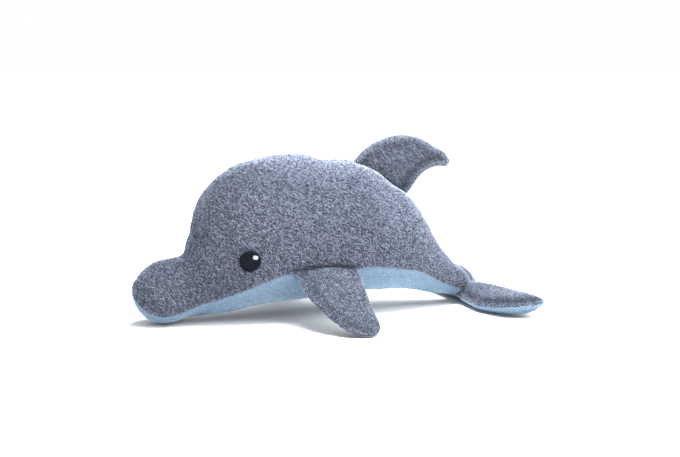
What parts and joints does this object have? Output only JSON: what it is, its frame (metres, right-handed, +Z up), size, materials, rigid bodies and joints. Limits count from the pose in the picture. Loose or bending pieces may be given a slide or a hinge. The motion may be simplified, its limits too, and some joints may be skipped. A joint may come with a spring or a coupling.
{
  "type": "plush dolphin",
  "caption": "Stuffed toy dolphin lying on its belly: grey pile side panels, pale blue belly, dorsal fin, flippers, flukes and embroidered eyes.",
  "frame": {"origin": "on the ground under the middle of the toy's box, with the toy lying on its belly", "axes": "+X towards the tail, +Y towards the animal's right side, +Z up"},
  "size_m": [0.3708, 0.244, 0.1666],
  "materials": {
    "grey_pile": "short looped pile, matte",
    "blue_pile": "short looped pile, matte",
    "fibre_filling": "loose polyester fibre",
    "eye_embroidery": "satin stitch",
    "glint_embroidery": "satin stitch"
  },
  "bodies": {
    "root": {"side_panel_left": "grey_pile", "side_panel_right": "grey_pile", "belly_panel": "blue_pile", "body_stuffing": "fibre_filling", "dorsal_fin_left": "grey_pile", "dorsal_fin_right": "grey_pile", "dorsal_fin_stuffing": "fibre_filling", "flipper_left_upper": "grey_pile", "flipper_left_lower": "grey_pile", "flipper_left_stuffing": "fibre_filling", "flipper_right_upper": "grey_pile", "flipper_right_lower": "grey_pile", "flipper_right_stuffing": "fibre_filling", "fluke_upper": "grey_pile", "fluke_lower": "blue_pile", "fluke_stuffing": "fibre_filling", "eye_left": "eye_embroidery", "eye_left_glint": "glint_embroidery", "eye_right": "eye_embroidery", "eye_right_glint": "glint_embroidery"}
  },
  "joints": []
}
